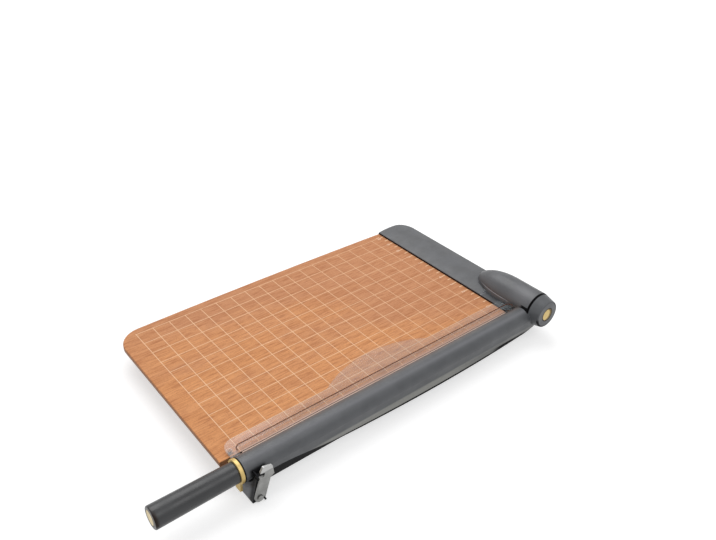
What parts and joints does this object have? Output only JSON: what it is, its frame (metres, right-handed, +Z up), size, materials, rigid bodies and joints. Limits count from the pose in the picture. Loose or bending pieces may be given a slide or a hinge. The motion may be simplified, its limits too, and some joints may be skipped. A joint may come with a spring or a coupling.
{
  "type": "paper cutter",
  "caption": "Guillotine paper cutter: wooden bed with a fence along the back, a clear guard, and a hinged blade arm with a handle that a hook latch holds down.",
  "frame": {"origin": "centre of the bounding box's footprint, on the desk under the rubber feet", "axes": "+X across the bed towards the blade, +Y along the blade from the handle to the pivot, +Z up"},
  "size_m": [0.3452, 0.643, 0.0705],
  "materials": {
    "bed_wood": "lacquered",
    "bar_wood": "lacquered",
    "rubber": "matte",
    "screw_steel": "zinc plated",
    "dark_steel": "blackened",
    "blade_steel": "ground",
    "head_plastic": "satin",
    "arm_plastic": "satin",
    "block_plastic": "satin",
    "grip_plastic": "satin",
    "clear_plastic": "clear",
    "carrier_metal": "satin",
    "brass": "polished",
    "latch_steel": "brushed"
  },
  "bodies": {
    "base": {"board": "bed_wood", "front_batten": "bar_wood", "rear_batten": "bar_wood", "cutting_rail": "bar_wood", "rubber_feet": "rubber", "batten_screws": "screw_steel", "lower_blade": "blade_steel", "lower_blade_screws": "screw_steel", "head_cover": "head_plastic", "head_screws": "screw_steel", "pivot_bracket": "screw_steel", "bracket_screws": "screw_steel", "pivot_bolt": "screw_steel", "pivot_sleeve": "screw_steel", "pivot_nut": "screw_steel", "front_block": "block_plastic", "block_screws": "screw_steel", "arm_bumper": "rubber", "guard": "clear_plastic", "guard_screws": "clear_plastic", "guard_spacer": "clear_plastic", "latch_pin": "screw_steel", "latch_stop": "dark_steel"},
    "arm": {"arm_cover": "arm_plastic", "arm_core": "screw_steel", "blade_carrier": "carrier_metal", "cutting_blade": "blade_steel", "blade_screws": "screw_steel", "arm_collar": "brass", "handle_grip": "grip_plastic", "handle_end_cap": "brass", "pivot_bush": "brass", "pivot_cap": "brass", "catch_stud": "dark_steel"},
    "latch": {"latch_lever": "latch_steel"}
  },
  "joints": [
    {"name": "arm_hinge", "type": "hinge", "parent": "base", "child": "arm", "pos_m": [0.1536, 0.2955, 0.045], "axis": [-1, 0, 0], "range_deg": [0, 65]},
    {"name": "latch_hinge", "type": "hinge", "parent": "base", "child": "latch", "pos_m": [0.1677, -0.2035, 0.0085], "axis": [1, 0, 0], "range_deg": [0, 10]}
  ]
}
